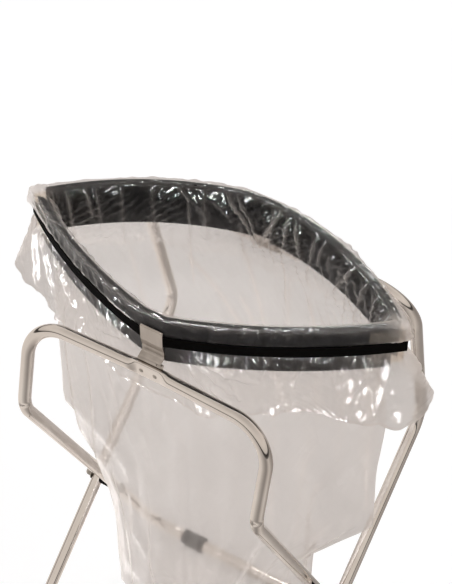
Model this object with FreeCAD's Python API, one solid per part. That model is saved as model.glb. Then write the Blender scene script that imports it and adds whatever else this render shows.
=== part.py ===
import FreeCAD, Part
import math
import os

# Folding stand for a large bin bag: two bent-tube frames cross like scissors at
# two side pivots, and each carries half of a flat plastic hoop on a sheet-metal clip
# that swings on a hinge pin.  A film bag hangs through the hoop, its mouth is turned
# over the rim and an elastic strap holds it there.
# Origin on the floor under the middle of the stand, X along the hoop, -Y to the front.

os.makedirs("parts", exist_ok=True)
V = FreeCAD.Vector

# Heights
rim_z = 900.0            # upper edge of the hoop bands
bar_drop = 100.0         # from the hoop's upper edge down to the top bars' centre line
front_knee_drop = 160.0  # length of a side tube from top bar to knee, along the tube
rear_knee_drop = 340.0
pivot_z = 240.0          # height of the scissor pivots

# Frame tubes
tube_d = 20.0
front_half_width = 205.0     # centre line of the front frame's side tubes
frame_gap = 20.0             # free space between the two frames' side tubes
bar_out = 13.0               # from a band's outer face to the top bar's centre line, at the pressed middle
bar_bow_deg = 2.1            # each half of a top bar leans outward from the middle
ear_lean_deg = 14.0          # side tubes lean outward from bar to knee
front_corner_r = 62.0
rear_corner_r = 75.0
knee_r = 60.0
floor_corner_r = 55.0

# Pressed middle of the top bars
press_half = 19.0            # half length of the pressed part
press_run = 15.0             # length of the change from flat to round
press_thick = 10.0
press_corner_r = 3.5

# Rubber feet
foot_x = 120.0
foot_len = 44.0
foot_wall = 4.0
foot_groove = 1.2

# Scissor pivots
bolt_d = 8.0
bolt_play = 0.08             # radial play of a bolt in its tube holes
bolt_head_h = 5.0
bolt_flats = 13.0
washer_d = 20.0
washer_t = 1.5
nut_h = 8.0
dome_h = 4.0

# Hoop
hoop_half = 300.0            # middle to tip, on the outer faces
hoop_turn_deg = 4.5          # the hoop's long axis is turned this far on the stand
hoop_half_depth = 147.0      # outer face of the bands at the clips
front_turn_deg = 11.0        # half the angle that each front band half turns through
rear_turn_deg = 19.0         # the same for the rear band
band_h = 80.0
band_t = 9.0
band_edge = 1.8              # the bands' long edges are broken by this much
band_short = 26.0            # the bands end this far before the tips
tape_t = 1.0
tape_h = 62.0
tape_lap = 24.0              # how far the joining tape lies on each band

# Strap and film
film_t = 1.0
soft_gap = 0.3               # free space between film, bands, strap and clips
strap_drop = 38.0            # from the hoop's upper edge to the strap's middle
strap_h = 19.0
strap_t = 1.5
skirt_len = 155.0            # the turned-over mouth hangs down this far
skirt_flare = 14.0           # the skirt's hem stands out this far below the top bars
tip_flare = 14.0              # and this much more at the hoop's two tips
bag_floor_gap = 70.0         # the bag's bottom hangs this far above the floor
bag_waist_half = 180.0       # half length of the bag where the side tubes cross
bag_waist_depth = 150.0
waist_rise = 76.0            # the narrow part ends this far above the pivots
bag_swell = 130.0            # and the bag is at its full length this much higher
bag_fold = 10.5              # depth of the bag's main folds at the waist
bag_folds = (4, 5, 4, 5)     # how many of them on each arc, from the left tip anticlockwise

# Clips and hinges
sheet_t = 1.5
clip_w = 37.0
clip_top = 5.0               # the clip ends this far above the strap
clip_hook = 2.2
clip_bend_r = 5.0
cradle_w = 28.0
cradle_up = 20.0             # height of the cradle's outer wall above the band's lower edge
cradle_lip = 9.0             # height of its inner lip
cradle_bend_r = 1.6
pin_d = 4.0
pin_play = 0.05
knuckle_w = 24.0             # the clip's own curl, between the leaf's two curls
knuckle_gap = 0.4
pin_head_d = 6.5
pin_head_t = 1.6
rivet_d = 4.0
rivet_head_d = 7.0
rivet_head_h = 1.6
leaf_rivet_x = 11.5
seat_gap = 0.05              # free space between pieces that are pressed or welded together

# Values that follow from those above
tube_r = tube_d / 2.0
bar_z = rim_z - bar_drop
bar_y = hoop_half_depth + bar_out
floor_bar_z = tube_r + foot_wall
rear_half_width = front_half_width + tube_d + frame_gap
press_high = press_thick + (math.pi * (tube_d - press_thick)) / 2.0
band_low = rim_z - band_h
strap_z = rim_z - strap_drop
strap_top = strap_z + strap_h / 2.0
strap_low = strap_z - strap_h / 2.0
film_in = tape_t + soft_gap + 0.1
film_out = film_in + film_t
strap_in = film_out + soft_gap
strap_out = strap_in + strap_t
clip_out = strap_out + soft_gap + sheet_t / 2.0
curl_r = pin_d / 2.0 + pin_play + sheet_t / 2.0
leaf_y = bar_y - press_thick / 2.0 - seat_gap - sheet_t / 2.0
pin_y = leaf_y + curl_r
pin_z = bar_z + press_high / 2.0 + curl_r + sheet_t
clip_seat_y = hoop_half_depth + 2.0 * seat_gap + 1.5 * sheet_t
film_back = seat_gap + sheet_t + soft_gap


def unit(v):
    """The vector at length one."""
    return v * (1.0 / v.Length)


def bent_path(points, radii):
    """Straight runs through the points, with a tangent arc of its own radius at each inner point."""
    edges = []
    start = points[0]
    for i in range(1, len(points) - 1):
        before = unit(points[i - 1] - points[i])
        after = unit(points[i + 1] - points[i])
        half = before.getAngle(after) / 2.0
        run = radii[i - 1] / math.tan(half)
        first = points[i] + before * run
        last = points[i] + after * run
        to_mid = unit(before + after)
        middle = points[i] + to_mid * (radii[i - 1] / math.sin(half) - radii[i - 1])
        if (first - start).Length > 1e-6:
            edges.append(Part.LineSegment(start, first).toShape())
        edges.append(Part.Arc(first, middle, last).toShape())
        start = last
    edges.append(Part.LineSegment(start, points[-1]).toShape())
    return Part.Wire(edges)


def round_sweep(path, start, direction, radius):
    """A round bar along a path."""
    ring = Part.Wire([Part.makeCircle(radius, start, direction)])
    return path.makePipeShell([ring], True, False)


def box(x0, x1, y0, y1, z0, z1):
    """A block between two corners."""
    return Part.makeBox(x1 - x0, y1 - y0, z1 - z0, V(x0, y0, z0))


def rod(radius, start, end):
    """A cylinder from one point to another."""
    return Part.makeCylinder(radius, (end - start).Length, start, end - start)


def mirror_x(shape):
    """The shape's twin on the other side of the stand's middle."""
    return shape.mirror(V(0, 0, 0), V(1, 0, 0))


# Frames
def frame_sizes(side):
    """Half width, knee drop and top corner radius of the front (-1) or the rear (1) frame."""
    if side < 0:
        return front_half_width, front_knee_drop, front_corner_r
    return rear_half_width, rear_knee_drop, rear_corner_r


def frame_points(side):
    """Centre line of half a frame, from the pressed middle of its top bar to the middle of its floor bar."""
    half_width, knee_drop, _ = frame_sizes(side)
    bow = math.radians(bar_bow_deg)
    lean = math.radians(ear_lean_deg)
    start_x = press_half + press_run
    end_y = bar_y + (half_width - press_half) * math.tan(bow)
    knee_y = end_y + knee_drop * math.sin(lean)
    knee_z = bar_z - knee_drop * math.cos(lean)
    slope = knee_y / (knee_z - pivot_z)
    floor_y = -slope * (pivot_z - floor_bar_z)
    return [
        V(start_x, side * (bar_y + press_run * math.tan(bow)), bar_z),
        V(half_width, side * end_y, bar_z),
        V(half_width, side * knee_y, knee_z),
        V(half_width, side * floor_y, floor_bar_z),
        V(0, side * floor_y, floor_bar_z),
    ]


def eight_edges(corners, middles):
    """A closed wire through eight corners; an edge with no middle point is straight."""
    edges = []
    for i in range(8):
        p, q = corners[i], corners[(i + 1) % 8]
        if middles[i] is None:
            edges.append(Part.LineSegment(p, q).toShape())
        else:
            edges.append(Part.Arc(p, middles[i], q).toShape())
    return Part.Wire(edges)


def pressed_wire(x, side):
    """Section of the pressed part: a flat oblong with rounded corners, taller than thick."""
    half_t, half_h = press_thick / 2.0, press_high / 2.0
    in_t, in_h = half_t - press_corner_r, half_h - press_corner_r
    bulge = press_corner_r * math.sqrt(0.5)
    centre = V(x, side * bar_y, bar_z)
    corners, middles = [], []
    for sy, sz in ((1, -1), (1, 1), (-1, 1), (-1, -1)):
        near_side = centre + V(0, side * sy * half_t, sz * in_h)
        near_end = centre + V(0, side * sy * in_t, sz * half_h)
        first, last = (near_end, near_side) if sy * sz < 0 else (near_side, near_end)
        corners += [first, last]
        middles += [centre + V(0, side * sy * (in_t + bulge), sz * (in_h + bulge)), None]
    return eight_edges(corners, middles)


def round_wire(centre, direction, side):
    """The round tube's section, cut into eight arcs that match the pressed one."""
    level = unit(V(-direction.y, direction.x, 0)) * side

    def at(deg):
        a = math.radians(deg)
        return centre + level * (tube_r * math.cos(a)) + V(0, 0, tube_r * math.sin(a))

    cuts = [-75, -35, 35, 75, 105, 145, 215, 255]
    middles = [at((cuts[i] + cuts[i + 1]) / 2.0) for i in range(7)] + [at(270)]
    return eight_edges([at(c) for c in cuts], middles)


def pressed_middle(side, start, direction):
    """The flat pressed into the top bar, and its change back to the round tube."""
    flat = Part.Face(pressed_wire(-press_half, side)).extrude(V(2 * press_half, 0, 0))
    change = Part.makeLoft([pressed_wire(press_half, side), round_wire(start, direction, side)], True, True)
    return flat, change


def frame_tube(side):
    """One bent-tube frame: a closed loop with a pressed flat in the middle of its top bar."""
    half_width, _, corner_r = frame_sizes(side)
    points = frame_points(side)
    path = bent_path(points, [corner_r, knee_r, floor_corner_r])
    direction = unit(points[1] - points[0])
    half = round_sweep(path, points[0], direction, tube_r)
    flat, change = pressed_middle(side, points[0], direction)
    tube = flat.fuse([change, mirror_x(change), half, mirror_x(half)])
    hole_r = bolt_d / 2.0 + bolt_play
    for x in (-half_width, half_width):
        tube = tube.cut(rod(hole_r, V(x - tube_d, 0, pivot_z), V(x + tube_d, 0, pivot_z)))
    for x in (-leaf_rivet_x, leaf_rivet_x):
        tube = tube.cut(rod(rivet_d / 2.0, V(x, side * (bar_y - tube_r), bar_z), V(x, side * (bar_y + tube_r), bar_z)))
    return tube


def feet(side):
    """Rubber sleeves on the floor bar, flat underneath and grooved at both ends."""
    y = frame_points(side)[-1].y
    outer = tube_r + foot_wall
    sleeves = []
    for x in (-foot_x, foot_x):
        ends = V(x - foot_len / 2.0, y, floor_bar_z), V(x + foot_len / 2.0, y, floor_bar_z)
        sleeve = rod(outer, *ends)
        sole = box(ends[0].x, ends[1].x, y - outer * 0.62, y + outer * 0.62, 0, floor_bar_z)
        sleeve = sleeve.fuse(sole).cut(rod(tube_r, *ends))
        for gx in (x - foot_len / 2.0 + 6.0, x + foot_len / 2.0 - 6.0):
            ring = rod(outer + 1.0, V(gx - 1.0, y, floor_bar_z), V(gx + 1.0, y, floor_bar_z))
            ring = ring.cut(rod(outer - foot_groove, V(gx - 1.0, y, floor_bar_z), V(gx + 1.0, y, floor_bar_z)))
            sleeve = sleeve.cut(ring.common(box(gx - 2, gx + 2, y - 2 * outer, y + 2 * outer, floor_bar_z, 3 * outer)))
        sleeves.append(sleeve)
    return Part.makeCompound(sleeves)


# Pivots
def hexagon(x, length, flats):
    """A six-sided block along X at the pivot's height."""
    r = flats / math.sqrt(3.0)
    corners = []
    for i in range(7):
        a = math.radians(60.0 * i)
        corners.append(V(x, r * math.cos(a), pivot_z + r * math.sin(a)))
    return Part.Face(Part.makePolygon(corners)).extrude(V(length, 0, 0))


def pivot_parts():
    """Bolts, washers, spacers and cap nuts of the two scissor pivots."""
    inside = front_half_width - tube_r
    outside = rear_half_width + tube_r
    head_x = inside - washer_t
    nut_x = outside + washer_t
    hole = bolt_d / 2.0 + bolt_play
    bolt = rod(bolt_d / 2.0, V(head_x, 0, pivot_z), V(nut_x + nut_h * 0.8, 0, pivot_z))
    head = hexagon(head_x - bolt_head_h, bolt_head_h, bolt_flats)
    head = head.common(rod(bolt_flats / 2.0 + 0.7, V(head_x - bolt_head_h, 0, pivot_z), V(head_x, 0, pivot_z)))
    bolt = bolt.fuse(head)
    washers = []
    for x in (head_x, outside):
        ring = rod(washer_d / 2.0, V(x, 0, pivot_z), V(x + washer_t, 0, pivot_z))
        washers.append(ring.cut(rod(hole, V(x - 1, 0, pivot_z), V(x + washer_t + 1, 0, pivot_z))))
    first = V(front_half_width + tube_r, 0, pivot_z)
    last = V(rear_half_width - tube_r, 0, pivot_z)
    spacer = rod(washer_d / 2.0, first, last).cut(rod(hole, first, last))
    nut = hexagon(nut_x, nut_h, bolt_flats)
    dome = Part.makeSphere(bolt_flats / 2.0, V(nut_x + nut_h - 1.0, 0, pivot_z))
    keep = box(nut_x, nut_x + nut_h + dome_h, -bolt_flats, bolt_flats, pivot_z - bolt_flats, pivot_z + bolt_flats)
    nut = nut.fuse(dome.common(keep)).cut(rod(bolt_d / 2.0, V(nut_x, 0, pivot_z), V(nut_x + nut_h * 0.8, 0, pivot_z)))
    pairs = {
        "pivot_bolts": [bolt, mirror_x(bolt)],
        "pivot_washers": washers + [mirror_x(w) for w in washers],
        "pivot_spacers": [spacer, mirror_x(spacer)],
        "pivot_cap_nuts": [nut, mirror_x(nut)],
    }
    return {name: Part.makeCompound(solids) for name, solids in pairs.items()}


# The hoop in plan
def hoop_corners(half_length, half_depth, turn_deg):
    """Corners of a hoop outline, anticlockwise from the left tip: tips, and the flats behind the clips."""
    turn = math.radians(turn_deg)
    tip = V(half_length * math.cos(turn), half_length * math.sin(turn), 0)
    flat = clip_w / 2.0
    return [
        tip * -1.0, V(-flat, -half_depth, 0), V(flat, -half_depth, 0),
        tip, V(flat, half_depth, 0), V(-flat, half_depth, 0),
    ]


def arc_circle(p, q, half_turn_deg):
    """Centre and radius of the arc from p to q that curves away from the middle."""
    chord = q - p
    radius = chord.Length / 2.0 / math.sin(math.radians(half_turn_deg))
    across = V(chord.y, -chord.x, 0) * (1.0 / chord.Length)
    middle = (p + q) * 0.5
    if across.dot(middle) < 0:
        across = across * -1.0
    return middle - across * (radius * math.cos(math.radians(half_turn_deg))), radius


def circles_meet(c1, r1, c2, r2, near):
    """Where two circles cross, on the side of a given point."""
    gap = c2 - c1
    d = gap.Length
    along = (d * d + r1 * r1 - r2 * r2) / (2.0 * d)
    off = math.sqrt(max(r1 * r1 - along * along, 0.0))
    base = c1 + gap * (along / d)
    across = V(-gap.y, gap.x, 0) * (off / d)
    first, second = base + across, base - across
    return first if (first - near).Length < (second - near).Length else second


def circle_at(centre, radius, y, near):
    """Where a circle crosses a line along X, on the side of a given point."""
    off = math.sqrt(max(radius * radius - (y - centre.y) ** 2, 0.0))
    first, second = V(centre.x + off, y, 0), V(centre.x - off, y, 0)
    return first if (first - near).Length < (second - near).Length else second


def folded_arc(centre, radius, p, q, depth, folds):
    """An arc from p to q that dips inward in a number of folds of unequal width, as a curve through points."""
    start = math.atan2(p.y - centre.y, p.x - centre.x)
    end = math.atan2(q.y - centre.y, q.x - centre.x)
    sweep = (end - start + math.pi) % (2.0 * math.pi) - math.pi
    count = 8 * folds
    points = [p]
    for i in range(1, count):
        u = i / count
        phase = 2.0 * math.pi * folds * (u + 0.03 * math.sin(4.0 * math.pi * u))
        reach = radius - depth * (1.0 - math.cos(phase)) / 2.0
        angle = start + sweep * u
        points.append(V(centre.x + reach * math.cos(angle), centre.y + reach * math.sin(angle), p.z))
    curve = Part.BSplineCurve()
    curve.interpolate(points + [q])
    return curve.toShape()


def outline(z, offset, half_length=hoop_half, half_depth=hoop_half_depth, turns=None, turn_deg=hoop_turn_deg, fold=0.0):
    """Closed outline at a height, moved out by an offset: four arcs, and a flat behind each clip.
    With a fold depth the arcs dip inward in folds."""
    front, rear = turns or (front_turn_deg, rear_turn_deg)
    left, fl, fr, right, rr, rl = hoop_corners(half_length, half_depth, turn_deg)
    sides = [(left, fl, front), (fr, right, front), (right, rr, rear), (rl, left, rear)]
    circles = []
    for p, q, turn in sides:
        centre, radius = arc_circle(p, q, turn)
        circles.append((centre, radius + offset))
    (c0, r0), (c1, r1), (c2, r2), (c3, r3) = circles
    y_front, y_rear = -half_depth - offset, half_depth + offset
    left = circles_meet(c3, r3, c0, r0, left)
    right = circles_meet(c1, r1, c2, r2, right)
    fl, fr = circle_at(c0, r0, y_front, fl), circle_at(c1, r1, y_front, fr)
    rr, rl = circle_at(c2, r2, y_rear, rr), circle_at(c3, r3, y_rear, rl)
    lift = V(0, 0, z)

    def arc(k, p, q):
        centre, radius = circles[k]
        if fold:
            return folded_arc(centre, radius, p + lift, q + lift, fold, bag_folds[k])
        middle = centre + unit((p + q) * 0.5 - centre) * radius
        return Part.Arc(p + lift, middle + lift, q + lift).toShape()

    return Part.Wire([
        arc(0, left, fl),
        Part.LineSegment(fl + lift, fr + lift).toShape(),
        arc(1, fr, right),
        arc(2, right, rr),
        Part.LineSegment(rr + lift, rl + lift).toShape(),
        arc(3, rl, left),
    ])


def stack(wires):
    """A solid through a pile of outlines."""
    return Part.makeLoft(wires, True, True)


def ring_solid(inner, outer, z0, z1, edge=0.0):
    """The wall between two offsets of the hoop's outline, with its four edges broken."""
    if edge:
        hull = stack([outline(z0, outer - edge), outline(z0 + edge, outer), outline(z1 - edge, outer), outline(z1, outer - edge)])
        core = stack([outline(z0, inner + edge), outline(z0 + edge, inner), outline(z1 - edge, inner), outline(z1, inner + edge)])
        return hull.cut(core)
    wall = Part.Face(outline(z0, outer)).extrude(V(0, 0, z1 - z0))
    return wall.cut(Part.Face(outline(z0 - 1, inner)).extrude(V(0, 0, z1 - z0 + 2)))


def bands():
    """The two flat plastic strips of the hoop, front and rear, each flat where its clip seats."""
    ring = ring_solid(-band_t, 0.0, band_low, rim_z, band_edge)
    reach = 2.0 * hoop_half
    for sign in (-1, 1):
        x0, x1 = sorted((sign * (hoop_half - band_short), sign * reach))
        nose = box(x0, x1, -reach, reach, 0, 2 * rim_z)
        nose.rotate(V(0, 0, 0), V(0, 0, 1), hoop_turn_deg)
        ring = ring.cut(nose)
    strips = {}
    for solid in ring.Solids:
        side = -1 if solid.CenterOfMass.y < 0 else 1
        strips["front_band" if side < 0 else "rear_band"] = solid
    return strips


def tip_tape(sign):
    """The strip of tape that joins the two bands' ends round a tip."""
    corners = hoop_corners(hoop_half, hoop_half_depth, hoop_turn_deg)
    tip = corners[3] if sign > 0 else corners[0]
    front_flat, rear_flat = (corners[2], corners[4]) if sign > 0 else (corners[1], corners[5])
    wraps = []
    for offset in (tape_t, 0.0):
        arms = []
        for middle, turn in ((front_flat, front_turn_deg), (rear_flat, rear_turn_deg)):
            centre, radius = arc_circle(middle, tip, turn)
            sense = 1.0 if (tip - centre).cross(middle - centre).z > 0 else -1.0
            arms.append((centre, radius + offset, sense))
        meet = circles_meet(arms[0][0], arms[0][1], arms[1][0], arms[1][1], tip)
        ends = []
        for centre, radius, sense in arms:
            a = sense * (band_short + tape_lap) / radius
            d = tip - centre
            ends.append(centre + unit(V(d.x * math.cos(a) - d.y * math.sin(a), d.x * math.sin(a) + d.y * math.cos(a), 0)) * radius)
        mids = []
        for (centre, radius, sense), end in zip(arms, ends):
            mids.append(centre + unit((meet + end) * 0.5 - centre) * radius)
        wraps.append((ends, mids, meet))
    (oe, om, o), (ie, im, i) = wraps
    wire = Part.Wire([
        Part.Arc(oe[0], om[0], o).toShape(),
        Part.Arc(o, om[1], oe[1]).toShape(),
        Part.LineSegment(oe[1], ie[1]).toShape(),
        Part.Arc(ie[1], im[1], i).toShape(),
        Part.Arc(i, im[0], ie[0]).toShape(),
        Part.LineSegment(ie[0], oe[0]).toShape(),
    ])
    low = rim_z - (band_h + tape_h) / 2.0
    tape = Part.Face(wire).extrude(V(0, 0, tape_h))
    tape.translate(V(0, 0, low))
    return tape


# Hinge leaf and clip
def sheet_along(points, radii, width):
    """Sheet metal bent along a path of (y, z) points, centred on the stand's middle."""
    path = bent_path([V(0, y, z) for y, z in points], radii)
    return path_sheet(path, points[0], points[1], width)


def path_sheet(path, start, following, width):
    """Sweeps a sheet's cut edge along a path in the YZ plane."""
    along = unit(V(0, following[0] - start[0], following[1] - start[1]))
    across = V(0, -along.z, along.y) * (sheet_t / 2.0)
    base = V(0, start[0], start[1])
    half = V(width / 2.0, 0, 0)
    ring = Part.makePolygon([base - half - across, base + half - across, base + half + across, base - half + across, base - half - across])
    return path.makePipeShell([ring], True, False)


def curl(side, width):
    """A sheet's edge rolled round the hinge pin."""
    outer = curl_r + sheet_t / 2.0
    inner = curl_r - sheet_t / 2.0
    ends = V(-width / 2.0, side * pin_y, pin_z), V(width / 2.0, side * pin_y, pin_z)
    return rod(outer, *ends).cut(rod(inner, *ends))


def clip_profile(side):
    """Side view of the clip: up from the pin, in to the cradle, out round the strap and over its top."""
    guard = hoop_half_depth + clip_out
    top = strap_top + clip_top
    return [
        (side * (pin_y + curl_r), pin_z),
        (side * (pin_y + curl_r), band_low + 2.5),
        (side * clip_seat_y, band_low + 7.5),
        (side * clip_seat_y, band_low + cradle_up - 1.0),
        (side * guard, strap_low - 1.5),
        (side * guard, top),
        (side * (guard - clip_hook), top + 1.0),
    ]


def cradle(side):
    """Bent-sheet channel that the band's lower edge stands in, welded to the back of the clip."""
    outer = hoop_half_depth + seat_gap + sheet_t / 2.0
    inner = hoop_half_depth - band_t - seat_gap - sheet_t / 2.0
    floor = band_low - seat_gap - sheet_t / 2.0
    path = [
        (side * outer, band_low + cradle_up),
        (side * outer, floor),
        (side * inner, floor),
        (side * inner, band_low + cradle_lip),
    ]
    return sheet_along(path, [cradle_bend_r] * 2, cradle_w)


def clip(side):
    """Spring clip of bent sheet, with one curl on the hinge pin and a hooked upper edge."""
    plate = sheet_along(clip_profile(side), [clip_bend_r] * 4 + [1.0], clip_w)
    tongue_cut = pin_z + curl_r + sheet_t + knuckle_gap
    reach = clip_w
    for sign in (-1, 1):
        x0, x1 = sorted((sign * knuckle_w / 2.0, sign * reach))
        y0, y1 = sorted((side * (pin_y - 3 * curl_r), side * (pin_y + 3 * curl_r)))
        plate = plate.cut(box(x0, x1, y0, y1, pin_z - 3 * curl_r, tongue_cut))
    roll = curl(side, knuckle_w)
    plate = plate.fuse(roll)
    plate = plate.cut(Part.makeCylinder(pin_d / 2.0 + pin_play, clip_w, V(-clip_w / 2.0, side * pin_y, pin_z), V(1, 0, 0)))
    return plate.removeSplitter()


def leaf(side):
    """Hinge leaf riveted behind the pressed flat, rolled round the pin at both its ends."""
    width = clip_w
    low = bar_z - press_high / 2.0 + 3.0
    y0, y1 = sorted((side * (leaf_y - sheet_t / 2.0), side * (leaf_y + sheet_t / 2.0)))
    plate = box(-width / 2.0, width / 2.0, y0, y1, low, pin_z)
    roll = curl(side, width)
    part = plate.fuse(roll)
    gap = knuckle_w / 2.0 + knuckle_gap
    y0, y1 = sorted((side * (pin_y - 3 * curl_r), side * (pin_y + 3 * curl_r)))
    part = part.cut(box(-gap, gap, y0, y1, pin_z - curl_r - sheet_t / 2.0 - knuckle_gap, pin_z + 3 * curl_r))
    part = part.cut(Part.makeCylinder(pin_d / 2.0, width, V(-width / 2.0, side * pin_y, pin_z), V(1, 0, 0)))
    for x in (-leaf_rivet_x, leaf_rivet_x):
        part = part.cut(rod(rivet_d / 2.0, V(x, side * (leaf_y - 5), bar_z), V(x, side * (leaf_y + 5), bar_z)))
    return part.removeSplitter()


def hinge_pin(side):
    """The hinge pin, headed at both ends."""
    half = clip_w / 2.0
    pin = rod(pin_d / 2.0, V(-half, side * pin_y, pin_z), V(half, side * pin_y, pin_z))
    for x in (-half - pin_head_t, half):
        pin = pin.fuse(rod(pin_head_d / 2.0, V(x, side * pin_y, pin_z), V(x + pin_head_t, side * pin_y, pin_z)))
    return pin


def rivets(xs, y_head, y_tail, z):
    """Rivets along Y with a low dome at each end."""
    solids = []
    for x in xs:
        step = 1.0 if y_tail > y_head else -1.0
        body = rod(rivet_d / 2.0, V(x, y_head, z), V(x, y_tail, z))
        for y, way in ((y_head, -step), (y_tail, step)):
            ball_r = (rivet_head_d ** 2 / 4.0 + rivet_head_h ** 2) / (2.0 * rivet_head_h)
            ball = Part.makeSphere(ball_r, V(x, y - way * (ball_r - rivet_head_h), z))
            y0, y1 = sorted((y, y + way * 2.0 * rivet_head_h))
            body = body.fuse(ball.common(box(x - rivet_d * 2, x + rivet_d * 2, y0, y1, z - rivet_d * 2, z + rivet_d * 2)))
        solids.append(body)
    return Part.makeCompound(solids)


# Bag
def bag():
    """Film bag: body inside the bands, mouth turned over the rim, skirt outside them."""
    top = rim_z + soft_gap + film_t
    hem = rim_z - skirt_len
    under_bar = bar_z - tube_r - 3.0

    def skirt(offset, z_top):
        low = hem - (1.0 if offset < film_out else 0.0)
        return stack([
            outline(low, offset + skirt_flare, hoop_half + tip_flare),
            outline(under_bar, offset, hoop_half + tip_flare * 0.6),
            outline(strap_low - 1.0, offset),
            outline(z_top, offset),
        ])

    def body(offset, z_top, z_low):
        waist = (41.0, 41.0)
        between = (24.0, 26.0)
        inner = -band_t - film_back - offset
        low = bag_waist_half
        full = hoop_half - 12.0
        swell_z = pivot_z + waist_rise + bag_swell
        full_depth = hoop_half_depth - 6.0
        return stack([
            outline(z_low, -offset, low * 0.78, bag_waist_depth * 0.72, waist, 0.0, bag_fold),
            outline(bag_floor_gap + 60.0, -offset, low, bag_waist_depth * 0.95, waist, 0.0, bag_fold),
            outline(pivot_z + waist_rise, -offset, low, bag_waist_depth, waist, 0.0, bag_fold),
            outline(swell_z - bag_swell / 2.0, -offset, (low + full) / 2.0, hoop_half_depth, between, 2.0, bag_fold * 0.9),
            outline(swell_z, -offset, full, full_depth, (16.0, 22.0), hoop_turn_deg, bag_fold * 0.6),
            outline(band_low - 20.0, inner),
            outline(z_top, inner),
        ])

    shell = skirt(film_out, top).cut(skirt(film_in, top - film_t))
    shell = shell.fuse(body(0.0, top, bag_floor_gap))
    shell = shell.cut(body(film_t, top + 5.0, bag_floor_gap + film_t))
    half = clip_w / 2.0 + 3.0
    for side in (-1, 1):
        y0, y1 = sorted((side * (hoop_half_depth - 1.0), side * (hoop_half_depth + 60.0)))
        shell = shell.cut(box(-half, half, y0, y1, hem - 2.0, strap_low - 1.0))
    return shell


# All parts
def build():
    """Every named piece of the stand."""
    nodes = {}
    for name, side in (("front", -1), ("rear", 1)):
        face = side * bar_y
        nodes[name + "_frame_tube"] = frame_tube(side)
        nodes[name + "_frame_feet"] = feet(side)
        nodes[name + "_hinge_leaf"] = leaf(side)
        nodes[name + "_hinge_pin"] = hinge_pin(side)
        nodes[name + "_leaf_rivets"] = rivets(
            (-leaf_rivet_x, leaf_rivet_x), face + side * (press_thick / 2.0 + seat_gap),
            side * (leaf_y - sheet_t / 2.0 - seat_gap), bar_z)
        nodes[name + "_clip"] = clip(side)
        nodes[name + "_band_cradle"] = cradle(side)
    nodes.update(bands())
    nodes.update(pivot_parts())
    nodes["left_tip_tape"] = tip_tape(-1)
    nodes["right_tip_tape"] = tip_tape(1)
    nodes["elastic_strap"] = ring_solid(strap_in, strap_out, strap_low, strap_top)
    nodes["bin_bag"] = bag()
    return nodes


for node, shape in build().items():
    shape.exportStep("parts/" + node + ".step")
    ok = shape.isValid() and len(shape.Solids) > 0
    print(node, "solids", len(shape.Solids), "valid", ok, "faces", len(shape.Faces), "volume", round(shape.Volume))
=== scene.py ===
import math

import bpy
import numpy as np
from mathutils import Matrix, Vector


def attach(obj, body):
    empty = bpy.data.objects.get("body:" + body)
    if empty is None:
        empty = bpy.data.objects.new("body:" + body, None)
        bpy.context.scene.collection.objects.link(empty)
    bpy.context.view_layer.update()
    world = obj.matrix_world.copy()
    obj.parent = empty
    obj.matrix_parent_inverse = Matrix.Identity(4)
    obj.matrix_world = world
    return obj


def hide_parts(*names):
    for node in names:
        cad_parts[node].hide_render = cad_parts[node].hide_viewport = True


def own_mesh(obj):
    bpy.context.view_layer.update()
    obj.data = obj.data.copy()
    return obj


# A folding stand of polished steel tube holds a film bag open on a flat plastic hoop.
# Lengths are in metres. Shares run round the hoop from its left tip, past the front clip at a
# quarter, the right tip at a half and the rear clip at three quarters.

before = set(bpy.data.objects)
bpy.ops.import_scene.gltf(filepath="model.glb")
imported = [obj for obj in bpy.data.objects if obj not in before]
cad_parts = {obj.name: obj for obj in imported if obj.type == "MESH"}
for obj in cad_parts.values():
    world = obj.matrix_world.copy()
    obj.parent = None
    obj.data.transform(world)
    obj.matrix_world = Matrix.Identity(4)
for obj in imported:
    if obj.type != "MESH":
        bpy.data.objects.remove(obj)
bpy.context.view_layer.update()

# Camera: a long lens from the front right and above, level across the picture.
CAMERA_PLACE = (0.8874, -1.3463, 2.3967)
CAMERA_BACK = (0.3864, -0.6027, 0.6982)
CAMERA_LENS = 123.48
CAMERA_SENSOR = 36.0

# The hoop and what lies on it: offsets are measured outward from the bands' outer face
RIM_Z = 0.900
HOOP_HALF = 0.300
HOOP_DEPTH = 0.147
HOOP_TURN = math.radians(4.5)
FRONT_TURN = math.radians(11.0)
REAR_TURN = math.radians(19.0)
CLIP_HALF = 0.0185
BAND_LOW = 0.820
BAND_T = 0.009
STRAP_Z = 0.862
STRAP_H = 0.019
STRAP_IN = 0.0027
STRAP_OUT = 0.0042
FILM_OUT = 0.0019
FILM_IN = 0.01135
FILM_TOP = 0.9008
HEM_Z = 0.746
TAPE_LOW, TAPE_HIGH = 0.829, 0.891
TAPE_IN, TAPE_OUT = 0.0002, 0.0010
BAND_SHORT = 0.017
TAPE_REACH = 0.050
EDGE_BREAK, TAPE_EDGE, STRAP_EDGE = 0.0018, 0.0003, 0.0005

# The bag below the hoop: height, half length, half depth, turn of the front and rear arcs in
# degrees, turn of the long axis in degrees, how far the film stands inside that outline, and the
# depth of its main folds, of which each arc has so many.
BAG_SECTIONS = np.array([
    [0.800, 0.300, 0.147, 11.0, 19.0, 4.5, 0.01135, 0.0],
    [0.446, 0.288, 0.141, 16.0, 22.0, 4.5, 0.0005, 0.0063],
    [0.381, 0.234, 0.147, 24.0, 26.0, 2.0, 0.0005, 0.00945],
    [0.316, 0.180, 0.150, 41.0, 41.0, 0.0, 0.0005, 0.0105],
    [0.130, 0.180, 0.1425, 41.0, 41.0, 0.0, 0.0005, 0.0105],
    [0.071, 0.1404, 0.108, 41.0, 41.0, 0.0, 0.0005, 0.0105],
])
BAG_FOLDS = {0: 4, 2: 5, 3: 4, 5: 5}

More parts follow.
